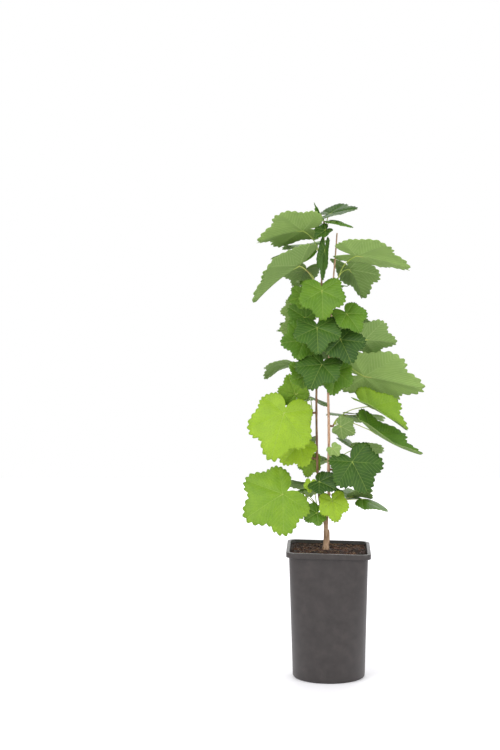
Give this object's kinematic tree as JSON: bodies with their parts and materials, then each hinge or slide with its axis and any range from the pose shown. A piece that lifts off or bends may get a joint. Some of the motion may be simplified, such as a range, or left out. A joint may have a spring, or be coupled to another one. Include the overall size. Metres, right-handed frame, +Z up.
{
  "type": "potted red currant bush",
  "caption": "A young red currant bush: two upright stems with lobed green leaves, in a dark square-to-round plastic pot",
  "frame": {"origin": "middle of the pot's flat underside", "axes": "+Z up along the plant, -Y towards the front of the pot, +X to the right seen from the front"},
  "size_m": [0.2998, 0.1744, 0.7839],
  "materials": {
    "charcoal_plastic": "satin",
    "potting_soil": "matte",
    "currant_bark": "matte",
    "currant_leaf": "satin"
  },
  "bodies": {
    "root": {"pot": "charcoal_plastic", "soil": "potting_soil", "trunk": "currant_bark", "left_stem": "currant_bark", "right_stem": "currant_bark", "foliage_low_left": "currant_leaf", "foliage_low_right": "currant_leaf", "foliage_low_front": "currant_leaf", "foliage_mid_left": "currant_leaf", "foliage_left_inner": "currant_leaf", "foliage_right_low": "currant_leaf", "foliage_right": "currant_leaf", "foliage_right_mid": "currant_leaf", "foliage_left_upper": "currant_leaf", "foliage_left_high": "currant_leaf", "foliage_right_inner": "currant_leaf", "foliage_left_top": "currant_leaf", "foliage_right_high": "currant_leaf", "foliage_top_left": "currant_leaf", "foliage_top": "currant_leaf"}
  },
  "joints": []
}
